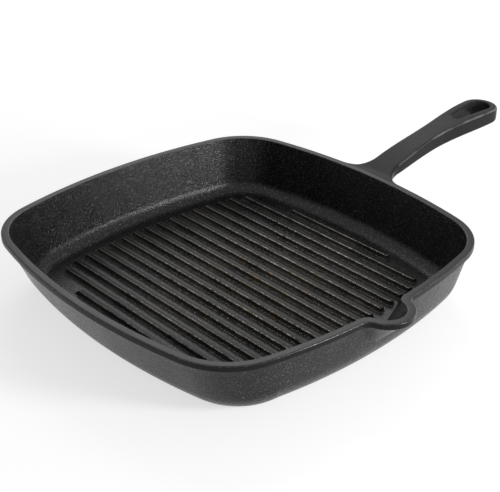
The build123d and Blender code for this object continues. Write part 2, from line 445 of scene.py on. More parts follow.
@dataclass
class Studio:
    """White table, white surroundings, soft lamps and a black card, with lengths in metres."""

    floor_reach: float = 6.0
    floor_drop: float = 0.0004
    floor_colour: float = 0.55
    floor_glow: float = 0.67
    surround_level: float = 0.30
    card_azimuth: float = 172.0
    card_distance: float = 1.3
    card_width: float = 1.3
    card_height: float = 0.55
    card_colour: float = 0.01

    def build(self) -> None:
        """Makes the table, the surroundings, the lamps and the card."""
        self._table()
        self._surroundings()
        Softbox("front_lamp", azimuth=-68.0, elevation=18.0, distance=1.1, width=0.24, watts=9.3).build()
        Softbox("back_lamp", azimuth=50.0, elevation=41.0, distance=1.4, width=0.7, watts=4.0).build()
        self._card()

    def _seen(self, wiring: Wiring) -> Socket:
        """Adds a test for rays of the camera and of reflections.

        Args:
            wiring: Wiring of the table or of the surroundings.

        Returns:
            The socket, 1 for a ray that shows the background.
        """
        path = wiring.node("ShaderNodeLightPath").outputs
        mirrored = wiring.math("MAXIMUM", path["Is Camera Ray"], path["Is Glossy Ray"])
        return wiring.math("MAXIMUM", mirrored, path["Is Transmission Ray"])

    def _board(self, name: str, corners: list[Vector], material: bpy.types.Material) -> bpy.types.Object:
        """Makes a flat board that belongs to the stage.

        Args:
            name: Name of the board.
            corners: Its four corners, in order.
            material: Its material.

        Returns:
            The board.
        """
        mesh = bpy.data.meshes.new(name)
        mesh.from_pydata(corners, [], [(0, 1, 2, 3)])
        mesh.materials.append(material)
        board = link(name, mesh)
        return board

    def _table(self) -> None:
        """Makes the table, which keeps the pan's shadow and is open to a look from below."""
        material, wiring, shader = new_material("studio_table_white")
        wiring.tree.nodes.remove(shader)
        matt = wiring.node("ShaderNodeBsdfDiffuse", {"Color": (self.floor_colour,) * 3 + (1.0,)})
        strength = wiring.math("MULTIPLY", self._seen(wiring), self.floor_glow)
        glow = wiring.node("ShaderNodeEmission", {"Strength": strength})
        both = wiring.node("ShaderNodeAddShader", {0: matt.outputs[0], 1: glow.outputs[0]})
        under = wiring.node("ShaderNodeNewGeometry").outputs["Backfacing"]
        clear = wiring.node("ShaderNodeBsdfTransparent")
        sided = wiring.node("ShaderNodeMixShader", {0: under, 1: both.outputs[0], 2: clear.outputs[0]})
        wiring.put(wiring.tree.nodes["Material Output"].inputs["Surface"], sided.outputs[0])
        reach, level = self.floor_reach, -self.floor_drop
        corners = [Vector((x * reach, y * reach, level)) for x, y in ((-1, -1), (1, -1), (1, 1), (-1, 1))]
        self._board("studio_table", corners, material)

    def _card(self) -> None:
        """Stands a black card behind the left of the pan against flat reflections, hidden from the camera."""
        turn = math.radians(self.card_azimuth)
        middle = Vector((math.cos(turn), math.sin(turn), 0.0)) * self.card_distance
        side = Vector((-math.sin(turn), math.cos(turn), 0.0)) * self.card_width / 2
        rise = Vector((0.0, 0.0, self.card_height))
        material, wiring, shader = new_material("black_card_felt")
        wiring.put(shader.inputs["Base Color"], (self.card_colour,) * 3 + (1.0,))
        wiring.put(shader.inputs["Specular IOR Level"], 0.0)
        corners = [middle - side, middle + side, middle + side + rise, middle - side + rise]
        self._board("black_card", corners, material).visible_camera = False

    def _surroundings(self) -> None:
        """Makes the world: white where it is seen, and a plain level where it lights the pan."""
        world = bpy.data.worlds.new("studio_surroundings")
        world.use_nodes = True
        wiring = Wiring(world.node_tree)
        background = wiring.tree.nodes["Background"]
        levels = {"Value": self._seen(wiring), "To Min": self.surround_level, "To Max": 1.0}
        wiring.put(background.inputs["Color"], (1.0, 1.0, 1.0, 1.0))
        wiring.put(background.inputs["Strength"], wiring.node("ShaderNodeMapRange", levels).outputs["Result"])
        bpy.context.scene.world = world


def between(first: float, last: float, share: float) -> float:
    """Goes from one number to another by a share."""
    return first + (last - first) * share


def in_metres(points: list[Point]) -> list[Point]:
    """Turns points from millimetres to metres."""
    return [tuple(value * MM for value in point) for point in points]


def arc(centre: Plan, radius: float, start: float, end: float, count: int) -> list[Plan]:
    """Samples an arc between two angles in radians, in so many steps, both ends among the points."""
    angles = [start + (end - start) * step / count for step in range(count + 1)]
    return [(centre[0] + radius * math.cos(angle), centre[1] + radius * math.sin(angle)) for angle in angles]


def evenly(points: list[Plan], count: int) -> list[Plan]:
    """Spaces points evenly along a line.

    Args:
        points: The line, finely sampled.
        count: How many steps the result has.

    Returns:
        The evenly spaced points, both ends among them.
    """
    lengths = [0.0]
    for before, after in zip(points, points[1:]):
        lengths.append(lengths[-1] + math.dist(before, after))
    result = []
    place = 0
    for step in range(count + 1):
        wanted = lengths[-1] * step / count
        while place < len(points) - 2 and lengths[place + 1] < wanted:
            place += 1
        share = (wanted - lengths[place]) / max(lengths[place + 1] - lengths[place], TINY)
        result.append(tuple(between(a, b, share) for a, b in zip(points[place], points[place + 1])))
    return result


def outward(points: list[Plan]) -> list[Plan]:
    """Finds the directions square to a closed outline.

    Args:
        points: The outline, seen from above, against the clock.

    Returns:
        One direction of length 1 for each point.
    """
    result = []
    for before, after in zip(points[-1:] + points[:-1], points[1:] + points[:1]):
        along = (after[0] - before[0], after[1] - before[1])
        length = math.hypot(*along)
        result.append((along[1] / length, -along[0] / length))
    return result


def ring_faces(low: list[int], high: list[int]) -> list[Face]:
    """Lists the faces between two closed rows of as many points."""
    return [
        (here, after, above_after, above)
        for here, after, above_after, above in zip(low, low[1:] + low[:1], high[1:] + high[:1], high)
    ]


class Zone(Enum):
    """Pieces into which the castings are parted."""

    FLOOR = "floor"
    WALL = "wall"
    BAND = "band"
    LIP = "lip"
    ROOT = "root"
    SHANK = "shank"
    EYE = "eye"


@dataclass(frozen=True)
class Counts:
    """Steps of each stretch of the pan's outline."""

    lip_reach: float = 35.1
    flank: int = 20
    lip: int = 110
    corner: int = 26
    side: int = 34
    fine_nose: int = 60
    fine_wall: int = 30

    @property
    def total(self) -> int:
        """Steps of the whole outline."""
        return 2 * self.flank + self.lip + 4 * self.corner + 3 * self.side

    @property
    def lip_columns(self) -> range:
        """Points of the lip's stretch."""
        return range(self.flank, self.flank + self.lip)


@dataclass(frozen=True)
class Nose:
    """Round of the pouring lip in one level plane."""

    centre_y: float
    radius: float
    root_round: float


NO_NOSE = Nose(0.0, 1.0, 1.0)


@dataclass(frozen=True)
class Outline:
    """Outline of the pan in one level plane: four bowed sides, four round corners and the lip."""

    toe: float
    handle: float
    lip: float
    far: float
    side_radius: float
    corner_radius: float
    nose: Nose

    @property
    def sizes(self) -> tuple[float, ...]:
        """Reach of each side, and the radii of sides and corners."""
        return self.toe, self.handle, self.lip, self.far, self.side_radius, self.corner_radius

    def grown(self, reach: float) -> "Outline":
        """Moves the outline outwards, or inwards for a reach below zero."""
        nose = Nose(self.nose.centre_y, self.nose.radius + reach, self.nose.root_round - reach)
        return Outline(*(size + reach for size in self.sizes), nose)

    def toward(self, other: "Outline", share: float) -> "Outline":
        """Goes from this outline to another by a share, and keeps the lip of this one."""
        return Outline(*(between(mine, its, share) for mine, its in zip(self.sizes, other.sizes)), self.nose)

    def corner(self, end: Plan, flank: Plan) -> Plan:
        """Finds the middle of a round corner.

        Args:
            end: Middle of the circle of the toe or handle side.
            flank: Middle of the circle of the lip or far side.

        Returns:
            The middle of the corner's circle.
        """
        apart = math.hypot(end[0], flank[1])
        reach = math.sqrt((self.side_radius - self.corner_radius) ** 2 - (apart / 2) ** 2)
        turn = -math.copysign(1.0, end[0] * flank[1])
        return (end[0] / 2 + turn * flank[1] / apart * reach, flank[1] / 2 + turn * end[0] / apart * reach)

    def lip_stretch(self, counts: Counts) -> list[Plan]:
        """Samples the lip and the wall beside it, finely.

        Args:
            counts: Reach of the stretch to each side of the lip's middle, and its steps.

        Returns:
            The points from the toe side to the handle side.
        """
        nose = self.nose
        wall_y = self.side_radius - self.lip
        wall_end = -math.acos(counts.lip_reach / self.side_radius)
        if nose.radius - nose.centre_y <= self.lip + NEARLY:
            return arc((0.0, wall_y), self.side_radius, -math.pi - wall_end, wall_end, counts.fine_nose)
        wall_reach = self.side_radius + nose.root_round
        nose_reach = nose.radius + nose.root_round
        squares = wall_y**2 - nose.centre_y**2 - wall_reach**2 + nose_reach**2
        root_y = squares / (2 * (wall_y - nose.centre_y))
        root_x = math.sqrt(max(nose_reach**2 - (root_y - nose.centre_y) ** 2, 0.0))
        to_nose = math.atan2(root_y - nose.centre_y, root_x)
        to_wall = math.atan2(root_y - wall_y, root_x)
        half = arc((0.0, nose.centre_y), nose.radius, -QUARTER, to_nose, counts.fine_nose)
        back_to_nose, back_to_wall = to_nose + math.pi, to_wall + math.pi
        half += arc((root_x, root_y), nose.root_round, back_to_nose, back_to_wall, counts.fine_wall)[1:]
        half += arc((0.0, wall_y), self.side_radius, to_wall, wall_end, counts.fine_wall)[1:]
        return [(-x, y) for x, y in reversed(half)] + half[1:]

    def points(self, counts: Counts) -> list[Plan]:
        """Samples the whole outline against the clock, from the corner of toe and lip.

        Args:
            counts: How many steps each stretch has.

        Returns:
            The points, the first one not repeated.
        """
        radius = self.side_radius
        toe, handle = (radius - self.toe, 0.0), (self.handle - radius, 0.0)
        lip, far = (0.0, radius - self.lip), (0.0, self.far - radius)
        corners = [self.corner(*pair) for pair in ((toe, lip), (handle, lip), (handle, far), (toe, far))]

        def angle(centre: Plan, corner: Plan) -> float:
            """Direction from a side's circle to a corner's circle."""
            return math.atan2(corner[1] - centre[1], corner[0] - centre[0])

        def sweep(centre: Plan, reach: float, start: float, end: float, count: int) -> list[Plan]:
            """Arc that runs against the clock, however its angles were measured."""
            return arc(centre, reach, start, start + (end - start) % (2 * math.pi), count)

        zone = math.acos(counts.lip_reach / radius)
        stretches = [
            sweep(lip, radius, angle(lip, corners[0]), math.pi + zone, counts.flank),
            evenly(self.lip_stretch(counts), counts.lip),
            sweep(lip, radius, 2 * math.pi - zone, angle(lip, corners[1]), counts.flank),
        ]
        turns = ((lip, handle), (handle, far), (far, toe), (toe, lip))
        for number, (before, after) in enumerate(turns, start=1):
            near, next_one = corners[number % 4], corners[(number + 1) % 4]
            start, end = angle(before, near), angle(after, near)
            stretches.append(sweep(near, self.corner_radius, start, end, counts.corner))
            if after != lip:
                stretches.append(sweep(after, radius, end, angle(after, next_one), counts.side))
        return [point for stretch in stretches for point in stretch[:-1]]


class Casting:
    """Cast surface that is parted into closed pieces and still shades as one."""

    def __init__(self) -> None:
        """Starts without points."""
        self.points: list[Point] = []
        self.wear_and_highlight: list[float] = []
        self.skin: dict[Zone, list[Face]] = {}
        self.seams: dict[Zone, list[Face]] = {}
        self._normals: list[Vector] = []

    def add(self, points: list[Point], wear_and_highlight: float = 0.0) -> list[int]:
        """Adds a row of points.

        Args:
            points: The points in millimetres.
            wear_and_highlight: How worn the surface is there, and how strong a painted highlight is, from 0
                to 1.

        Returns:
            The numbers of the points.
        """
        start = len(self.points)
        self.points += points
        self.wear_and_highlight += [wear_and_highlight] * len(points)
        return list(range(start, len(self.points)))

    def cover(self, zone: Zone, face: Face) -> None:
        """Adds a face of the outer surface to a zone."""
        self.skin.setdefault(zone, []).append(face)

    def part(self, face: Face, *zones: Zone) -> None:
        """Adds a parting face to the zones that meet there."""
        for zone in zones:
            self.seams.setdefault(zone, []).append(face)

    def normals(self) -> list[Vector]:
        """Works out the direction of the surface at every point, once.

        Returns:
            One direction for each point.
        """
        if not self._normals:
            sums = [Vector() for _ in self.points]
            places = [Vector(point) for point in self.points]
            for face in (face for faces in self.skin.values() for face in faces):
                first, second, third, last = (places[number] for number in (*face[:3], face[-1]))
                # For three corners the last is the third, and the product is the same.
                area = (third - first).cross(last - second)
                for number in face:
                    sums[number] += area
            self._normals = [total.normalized() for total in sums]
        return self._normals

    def piece(self, zone: Zone, name: str) -> bpy.types.Object:
        """Makes the closed piece of a zone.

        Args:
            zone: The zone.
            name: Name of the new object.

        Returns:
            The object, with the normals of the whole casting on its outer faces.
        """
        skin, seams = self.skin[zone], self.seams.get(zone, [])
        used = sorted({number for face in skin + seams for number in face})
        order = {number: place for place, number in enumerate(used)}
        faces = [[order[number] for number in face] for face in skin + seams]
        mesh = bpy.data.meshes.new(name)
        mesh.from_pydata(in_metres([self.points[number] for number in used]), [], faces)
        closed = bmesh.new()
        closed.from_mesh(mesh)
        bmesh.ops.recalc_face_normals(closed, faces=closed.faces[:])
        closed.to_mesh(mesh)
        closed.free()
        mesh.update()
        wear_and_highlight_value = mesh.attributes.new(WEAR_AND_HIGHLIGHT, "FLOAT", "POINT")
        wear_and_highlight_value.data.foreach_set("value", [self.wear_and_highlight[number] for number in used])
        normals = self.normals()
        directions = [Vector((0, 0, 1))] * len(mesh.loops)
        for polygon in mesh.polygons:
            polygon.use_smooth = True
            flat = polygon.index >= len(skin)
            for loop in polygon.loop_indices:
                number = used[mesh.loops[loop].vertex_index]
                directions[loop] = polygon.normal.copy() if flat else normals[number]
        mesh.normals_split_custom_set(directions)
        return link(name, mesh)


@dataclass
class PanBody:
    """Floor, flared wall, rim band and pouring lip, one casting in four pieces."""

    rim_reach: float = 133.0
    rim_height: float = 47.0
    lip_front: float = 148.4
    side_radius: float = 400.0
    corner_radius: float = 48.0
    rim_width: float = 5.1
    rim_round: float = 0.9
    band_height: float = 4.0
    band_step: float = 2.4
    ledge_round: float = 0.6
    wall_flare: float = 13.2
    toe_flare: float = 23.6
    base_corner: float = 41.0
    base_round: float = 24.0
    floor_level: float = 6.2
    floor_corner: float = 38.0
    cove: float = 10.0
    mouth_radius: float = 13.0
    nose_root: float = 7.0
    bowl_root: float = 8.0
    shell_root: float = 6.0
    foot_level: float = 21.0
    bowl_foot_level: float = 23.0
    shell_foot: Plan = (-120.94, 4.0)
    bowl_foot: Plan = (-118.8, 3.0)
    levels: tuple[float, ...] = (21.0, 22.0, 22.8, 23.4, 24.0, 24.8, 25.8, 27.0, 28.5, 30.5, 33.0, 36.0, 39.0)
    middle_rings: Plan = (0.45, 0.9)
    base_steps: int = 12
    cove_steps: int = 9
    ledge_steps: int = 4
    edge_steps: int = 5
    mouth_steps: int = 6
    counts: Counts = Counts()

    def measure(self) -> None:
        """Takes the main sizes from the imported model."""
        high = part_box("rim_band")[1]
        self.rim_reach = high.y / MM
        self.rim_height = high.z / MM
        self.lip_front = -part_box("pour_lip")[0].y / MM

    @property
    def band_foot(self) -> float:
        """Height of the underside of the band."""
        return self.rim_height - self.band_height

    @property
    def nose_middle(self) -> float:
        """Place of the middle of the pouring lip's round at the rim."""
        return self.mouth_radius + self.rim_width - self.lip_front

    def _nose(self, share: float, foot: Plan, top_radius: float, root: float) -> Nose:
        """Finds the round of the lip, at a share of its slanted cone's height, with its root's radius."""
        if share < 0:
            return NO_NOSE
        return Nose(between(foot[0], self.nose_middle, share), between(foot[1], top_radius, share), root)

    def _run(self, depth: float, flare: float) -> float:
        """How far a wall of some height and flare leans out, the flare in degrees."""
        return depth * math.tan(math.radians(flare))

    def _flared(self, share: float, depth: float, inset: float, foot_sizes: Plan, nose: Nose) -> Outline:
        """Finds the outline of a flared wall at a height.

        Args:
            share: The height as a share of the wall's.
            depth: Height of the wall.
            inset: How far its top lies inside the rim.
            foot_sizes: Radius of its sides and of its corners at the foot.
            nose: Round of the lip at the height.

        Returns:
            The outline.
        """
        top = self.rim_reach - inset
        toe, reach = (top - self._run(depth, flare) for flare in (self.toe_flare, self.wall_flare))
        foot = Outline(toe, reach, reach, reach, *foot_sizes, nose)
        rim = Outline(top, top, top, top, self.side_radius - inset, self.corner_radius - inset, nose)
        return foot.toward(rim, share)

    def shell(self, level: float) -> Outline:
        """Finds the outside of the flared wall at a height.

        Args:
            level: The height.

        Returns:
            The outline.
        """
        share = (level - self.foot_level) / (self.band_foot - self.foot_level)
        top_radius = self.mouth_radius + self.rim_width - self.band_step
        nose = self._nose(share, self.shell_foot, top_radius, self.shell_root)
        foot_sizes = (self.side_radius - self._run(self.band_foot, self.wall_flare), self.base_corner)
        return self._flared(level / self.band_foot, self.band_foot, self.band_step, foot_sizes, nose)

    def bowl(self, level: float) -> Outline:
        """Finds the inside of the flared wall at a height.

        Args:
            level: The height.

        Returns:
            The outline.
        """
        share = (level - self.bowl_foot_level) / (self.rim_height - self.bowl_foot_level)
        nose = self._nose(share, self.bowl_foot, self.mouth_radius, self.bowl_root)
        depth = self.rim_height - self.floor_level
        foot_sizes = (self.side_radius - self.rim_width, self.floor_corner)
        return self._flared((level - self.floor_level) / depth, depth, self.rim_width, foot_sizes, nose)

    def band(self) -> Outline:
        """Outside of the rim band."""
        nose = Nose(self.nose_middle, self.mouth_radius + self.rim_width, self.nose_root)
        return Outline(*(self.rim_reach,) * 4, self.side_radius, self.corner_radius, nose)

    def _round_rows(self, wall: Callable[[float], Outline], level: float, other: float, radius: float,
                    steps: int) -> list[list[Point]]:
        """Rounds the foot of a wall, or its upper edge with a radius below zero.

        Args:
            wall: Gives the wall's outline at a height.
            level: Height of the edge that is rounded.
            other: Height further along the wall, which tells its lean.
            radius: Radius of the round.
            steps: How many steps it has.

        Returns:
            Rows from the level surface to the wall.
        """
        edge, beyond = wall(level).points(self.counts), wall(other).points(self.counts)
        out = outward(edge)
        leans = [
            math.atan(((far[0] - near[0]) * way[0] + (far[1] - near[1]) * way[1]) / (other - level))
            for near, far, way in zip(edge, beyond, out)
        ]
        rows = []
        for step in range(steps + 1):
            row = []
            for point, way, lean in zip(edge, out, leans):
                angle = between(-QUARTER, -lean, step / steps)
                reach = radius * (math.cos(angle) - math.tan(QUARTER / 2 - lean / 2))
                height = level + radius * (1 + math.sin(angle))
                row.append((point[0] + way[0] * reach, point[1] + way[1] * reach, height))
            rows.append(row)
        return rows

    def _level_row(self, outline: Outline, level: float) -> list[Point]:
        """Row of points round an outline at a height."""
        return [(x, y, level) for x, y in outline.points(self.counts)]

    def _shrunk(self, row: list[Point], share: float) -> list[Point]:
        """Draws a level row towards the middle of the pan."""
        return [(x * share, y * share, z) for x, y, z in row]

    def rows(self) -> tuple[list[list[Point]], dict[str, int], list[float]]:
        """Lists the rows from under the floor, up outside, over the rim and down to the floor.

        Returns:
            The rows, the numbers of the rows at which the pieces are parted, and the wear of each row.
        """
        base = self._round_rows(self.shell, 0.0, self.foot_level, self.base_round, self.base_steps)
        cove = self._round_rows(self.bowl, self.floor_level, self.foot_level, self.cove, self.cove_steps)
        band, small, edge = self.band(), self.ledge_round, self.rim_round
        mouth = self._round_rows(self.bowl, self.rim_height, self.band_foot, -edge, self.mouth_steps)
        rows = [self._shrunk(base[0], share) for share in self.middle_rings]
        marks = {"base_edge": len(rows)}
        rows += base
        marks["lip_foot_out"] = len(rows)
        rows += [self._level_row(self.shell(level), level) for level in self.levels]
        marks["band_out"] = len(rows)
        under_ledge = arc((small, -small), small, math.pi, QUARTER, self.ledge_steps)
        round_ledge = arc((-small, small), small, -QUARTER, 0.0, self.ledge_steps)
        outer_edge = arc((-edge, -edge), edge, 0.0, QUARTER, self.edge_steps)
        for outline, level, section in (
            (self.shell(self.band_foot), self.band_foot, under_ledge),
            (band, self.band_foot, round_ledge),
            (band, self.rim_height, outer_edge),
        ):
            rows += [self._level_row(outline.grown(reach), level + rise) for reach, rise in section]
        top = len(rows)
        # The worn rows lie on the outer and on the inner edge of the rim.
        wear_and_highlight_value = {top - 4, top - 3, top + 3, top + 4, top + 5}
        rows.append([tuple(between(a, b, 0.5) for a, b in zip(*pair)) for pair in zip(rows[-1], mouth[0])])
        rows += mouth
        marks["band_in"] = len(rows) - 1
        rows.append(self._level_row(self.bowl(self.band_foot), self.band_foot))
        rows += [self._level_row(self.bowl(level), level) for level in reversed(self.levels)]
        marks["lip_foot_in"] = len(rows) - 1
        rows += reversed(cove)
        marks["floor_edge"] = len(rows) - 1
        rows += [self._shrunk(cove[0], share) for share in reversed(self.middle_rings)]
        return rows, marks, [1.0 if number in wear_and_highlight_value else 0.0 for number in range(len(rows))]

    def casting(self) -> Casting:
        """Builds the skin and the parting faces.

        Returns:
            The casting.
        """
        rows, marks, wear_and_highlight = self.rows()
        cast = Casting()
        numbers = [cast.add(row, wear_and_highlight_value) for row, wear_and_highlight_value in zip(rows, wear_and_highlight)]
        for row, (low, high) in enumerate(zip(numbers, numbers[1:])):
            for column, face in enumerate(ring_faces(low, high)):
                cast.cover(self._zone(row, column, marks), face)
        self._caps(cast, numbers)
        self._partings(cast, numbers, marks)
        return cast

    def _zone(self, row: int, column: int, marks: dict[str, int]) -> Zone:
        """Finds the zone of a face.

        Args:
            row: Row under the face.
            column: Column before it.
            marks: Rows at which the pieces are parted.

        Returns:
            The zone.
        """
        if row < marks["base_edge"] or row >= marks["floor_edge"]:
            return Zone.FLOOR
        if column in self.counts.lip_columns and marks["lip_foot_out"] <= row < marks["lip_foot_in"]:
            return Zone.LIP
        if marks["band_out"] <= row < marks["band_in"]:
            return Zone.BAND
        return Zone.WALL

    def _caps(self, cast: Casting, numbers: list[list[int]]) -> None:
        """Closes the middle of the underside and of the floor.

        Args:
            cast: The casting.
            numbers: Numbers of the points of each row.
        """
        total = self.counts.total
        under = cast.add([(0.0, 0.0, 0.0)])[0]
        above = cast.add([(0.0, 0.0, self.floor_level)])[0]
        for column in range(total):
            after = (column + 1) % total
            cast.cover(Zone.FLOOR, (under, numbers[0][after], numbers[0][column]))
            cast.cover(Zone.FLOOR, (above, numbers[-1][column], numbers[-1][after]))

    def _partings(self, cast: Casting, numbers: list[list[int]], marks: dict[str, int]) -> None:
        """Adds the faces at which the pieces meet.

        Args:
            cast: The casting.
            numbers: Numbers of the points of each row.
            marks: Rows at which the pieces are parted.
        """
        lip = self.counts.lip_columns
        borders = (("base_edge", "floor_edge"), ("band_out", "band_in"), ("lip_foot_out", "lip_foot_in"))
        floor, band, foot = (ring_faces(numbers[marks[low]], numbers[marks[high]]) for low, high in borders)
        for column in range(self.counts.total):
            cast.part(floor[column], Zone.FLOOR, Zone.WALL)
            if column in lip:
                cast.part(foot[column], Zone.WALL, Zone.LIP)
            else:
                cast.part(band[column], Zone.WALL, Zone.BAND)
        for column in (lip.start, lip.stop):
            outer = [numbers[row][column] for row in range(marks["lip_foot_out"], marks["band_out"] + 1)]
            inner = [numbers[row][column] for row in range(marks["lip_foot_in"], marks["band_in"] - 1, -1)]
            for face in zip(outer, outer[1:], inner[1:], inner):
                cast.part(face, Zone.WALL, Zone.LIP)
            cast.part((outer[-1], inner[-1], inner[-2]), Zone.WALL, Zone.LIP)
            ring = [numbers[row][column] for row in range(marks["band_out"], marks["band_in"] + 1)]
            cast.part(tuple(ring), Zone.BAND, Zone.LIP)

    def build(self, materials: Materials) -> None:
        """Makes the four pieces.

        Args:
            materials: Material of each slot.
        """
        self.measure()
        cast = self.casting()
        sides = ("wall_toe", "wall_handle", "wall_lip", "wall_far")
        corners = ("corner_toe_lip", "corner_toe_far", "corner_handle_lip", "corner_handle_far")
        for zone, name, slot, nodes in (
            (Zone.FLOOR, "seasoned_floor_plate", Slot.FLOOR, ("pan_floor",)),
            (Zone.WALL, "flared_wall_ring", Slot.WALL, sides + corners),
            (Zone.BAND, "raised_rim_band", Slot.RIM, ("rim_band",)),
            (Zone.LIP, "pouring_lip_casting", Slot.RIM, ("pour_lip",)),
        ):
            seat(cast.piece(zone, name), slot, nodes, materials)


@dataclass(frozen=True)
class Bow:
    """Arc in the side view, between two points, that stands up from its chord."""

    start: Plan
    end: Plan
    bow: float

    def height(self, x: float) -> float:
        """Finds the arc's height over a place.

        Args:
            x: The place along the handle.

        Returns:
            The height.
        """
        chord = (self.end[0] - self.start[0], self.end[1] - self.start[1])
        length = math.hypot(*chord)
        radius = (length**2 / 4 + self.bow**2) / (2 * self.bow)
        drop = radius - self.bow
        middle_x = (self.start[0] + self.end[0]) / 2 + chord[1] / length * drop
        middle_y = (self.start[1] + self.end[1]) / 2 - chord[0] / length * drop
        return middle_y + math.sqrt(max(radius**2 - (x - middle_x) ** 2, 0.0))


@dataclass(frozen=True)
class RailStop:
    """One stop on the edge of the handle, seen from above, with the radii of its upper and lower round."""

    place: Plan
    out: Plan
    top_round: float
    under_round: float

    def mirrored(self) -> "RailStop":
        """Gives the stop on the other side of the handle."""
        return RailStop((self.place[0], -self.place[1]), (self.out[0], -self.out[1]), self.top_round,
                        self.under_round)


@dataclass
class Handle:
    """Rising handle: flared root, narrow shank and the end with the hanging eye."""

    rim_x: float = 133.0
    rim_level: float = 47.0
    rim_round: float = 0.9
    rim_bow: float = 800.0
    flare_x: float = 150.0
    flare_radius: float = 18.0
    root_half: float = 11.0
    root_middle: float = 152.5
    root_end: float = 155.0
    waist_x: float = 194.0
    waist_half: float = 9.5
    eye_start: float = 221.5
    swell_x: float = 258.29
    swell_half: float = 14.2
    top: Bow = Bow((136.3, 47.0), (272.5, 65.6), 5.6)
    under: Bow = Bow((133.0, 39.2), (272.45, 54.3), 3.4)
    bend_reach: float = 1.5
    top_round: float = 2.0
    under_round: float = 2.6
    slot_start: float = 231.0
    slot_end: float = 258.5
    slot_narrow: float = 4.8
    slot_wide: float = 8.2
    slot_reach: float = 2.0
    slot_round: float = 1.3
    inside: float = 3.6
    tuck_start: float = 0.1
    first_share: float = 0.6
    flare_steps: int = 10
    shank_steps: int = 24
    eye_steps: int = 14
    tip_steps: int = 12
    round_steps: int = 6
    cross_steps: int = 8
    ring_steps: int = 5
    # Painted highlight along the grip's upper edge rounds, given through the lighter edge colour.
    edge_wear_and_highlight: float = 0.8
    painted_highlight_drops: Plan = (0.08, 0.7)

    def top_height(self, x: float) -> float:
        """Finds the height of the handle's top, with a soft bend behind the rim.

        Args:
            x: The place along the handle.

        Returns:
            The height.
        """
        start = self.top.start[0]
        if x <= start - self.bend_reach:
            return self.rim_level
        if x < start + self.bend_reach:
            end = self.top.height(start + self.bend_reach) - self.rim_level
            return self.rim_level + end * ((x - start + self.bend_reach) / (2 * self.bend_reach)) ** 2
        return self.top.height(x)

    def level(self, x: float, upper: bool) -> float:
        """Height of the handle's top or underside over a place."""
        return self.top_height(x) if upper else self.under.height(x)

    def rails(self) -> tuple[list[RailStop], int, int]:
        """Lists the stops along the left edge, from the rim to the tip.

        Returns:
            The stops, and the numbers of those where root and shank end.
        """
        small = self.rim_round
        flare_y = self.root_half + self.flare_radius
        edge_x = self.rim_x - small - flare_y**2 / self.rim_bow
        stops = [RailStop((edge_x, flare_y), (0.0, 1.0), small * self.first_share, small)]
        for step in range(self.flare_steps + 1):
            share = step / self.flare_steps
            along, aside = math.cos(QUARTER * share), math.sin(QUARTER * share)
            place = (self.flare_x - self.flare_radius * along, flare_y - self.flare_radius * aside)
            rounds = (between(small, self.top_round, share), between(small, self.under_round, share))
            stops.append(RailStop(place, (along, aside), *rounds))
        stops += [self._grip_stop(x) for x in (self.root_middle, self.root_end)]
        root_number = len(stops) - 1
        stops += self._grip(self.root_end, self.eye_start, self.shank_steps)
        shank_number = len(stops) - 1
        stops += self._grip(self.eye_start, self.swell_x, self.eye_steps)
        for along, aside in arc((0.0, 0.0), 1.0, QUARTER, 0.0, self.tip_steps)[1:]:
            place = (self.swell_x + self.swell_half * along, self.swell_half * aside)
            stops.append(RailStop(place, (along, aside), self.top_round, self.under_round))
        return stops, root_number, shank_number

    def _grip(self, start: float, end: float, steps: int) -> list[RailStop]:
        """Stops on a stretch of the grip, without the first."""
        return [self._grip_stop(between(start, end, step / steps)) for step in range(1, steps + 1)]

    def _grip_stop(self, x: float) -> RailStop:
        """Finds the stop on the grip, whose width goes from the root over the waist to the swell.

        Args:
            x: The place along the handle.

        Returns:
            The stop.
        """
        near = x < self.waist_x
        start, end = (self.flare_x, self.waist_x) if near else (self.waist_x, self.swell_x)
        low, high = (self.root_half, self.waist_half) if near else (self.waist_half, self.swell_half)
        share = (x - start) / (end - start)
        half = between(low, high, share * share * (3 - 2 * share))
        slope = (high - low) * 6 * share * (1 - share) / (end - start)
        length = math.hypot(1.0, slope)
        return RailStop((x, half), (-slope / length, 1 / length), self.top_round, self.under_round)

    def _column(self, stop: RailStop) -> list[Point]:
        """Lists the section of an edge: upper round, upright side and lower round.

        Args:
            stop: Stop on the edge.

        Returns:
            The points from the top down.
        """
        points = []
        for radius, upper in ((stop.top_round, True), (stop.under_round, False)):
            for step in range(self.round_steps + 1):
                angle = QUARTER * (step if upper else self.round_steps - step) / self.round_steps
                inset, drop = radius * (1 - math.sin(angle)), radius * (1 - math.cos(angle))
                x, y = stop.place[0] - stop.out[0] * inset, stop.place[1] - stop.out[1] * inset
                points.append((x, y, self.level(x, upper) + (-drop if upper else drop)))
        return points

    def _crossing(self, start: Point, end: Point, upper: bool, steps: int, bow: float = 0.0) -> list[Point]:
        """Lists points between two edges, on the top or on the underside.

        Args:
            start: First edge point.
            end: Last edge point.
            upper: True on the top.
            steps: How many steps lie between them.
            bow: How much the line follows the bow of the rim, from 0 to 1.

        Returns:
            The points between the two, without them.
        """
        points = []
        for step in range(1, steps):
            y = between(start[1], end[1], step / steps)
            x = between(start[0], end[0], step / steps) + bow * (start[1] ** 2 - y**2) / self.rim_bow
            points.append((x, y, self.level(x, upper)))
        return points

    def _ring(self, stop: RailStop) -> list[Point]:
        """Lists the whole section of the handle.

        Args:
            stop: Stop on the left edge.

        Returns:
            The points of the closed section.
        """
        left = self._column(stop)
        right = [(x, -y, z) for x, y, z in reversed(left)]
        bow = max(0.0, 1.0 - max(stop.place[0] - self.rim_x, 0.0) / (self.flare_x - self.rim_x))
        under = self._crossing(left[-1], right[0], False, self.cross_steps, bow)
        return left + under + right + self._crossing(right[-1], left[0], True, self.cross_steps, bow)

    def _tuck(self, point: Point) -> Point:
        """Moves a point of the first ring that lies below the rim's edge into the rim."""
        depth = min(max(self.rim_level - self.tuck_start - point[2], 0.0), 1.0)
        return (point[0] - self.inside * depth, point[1], point[2])

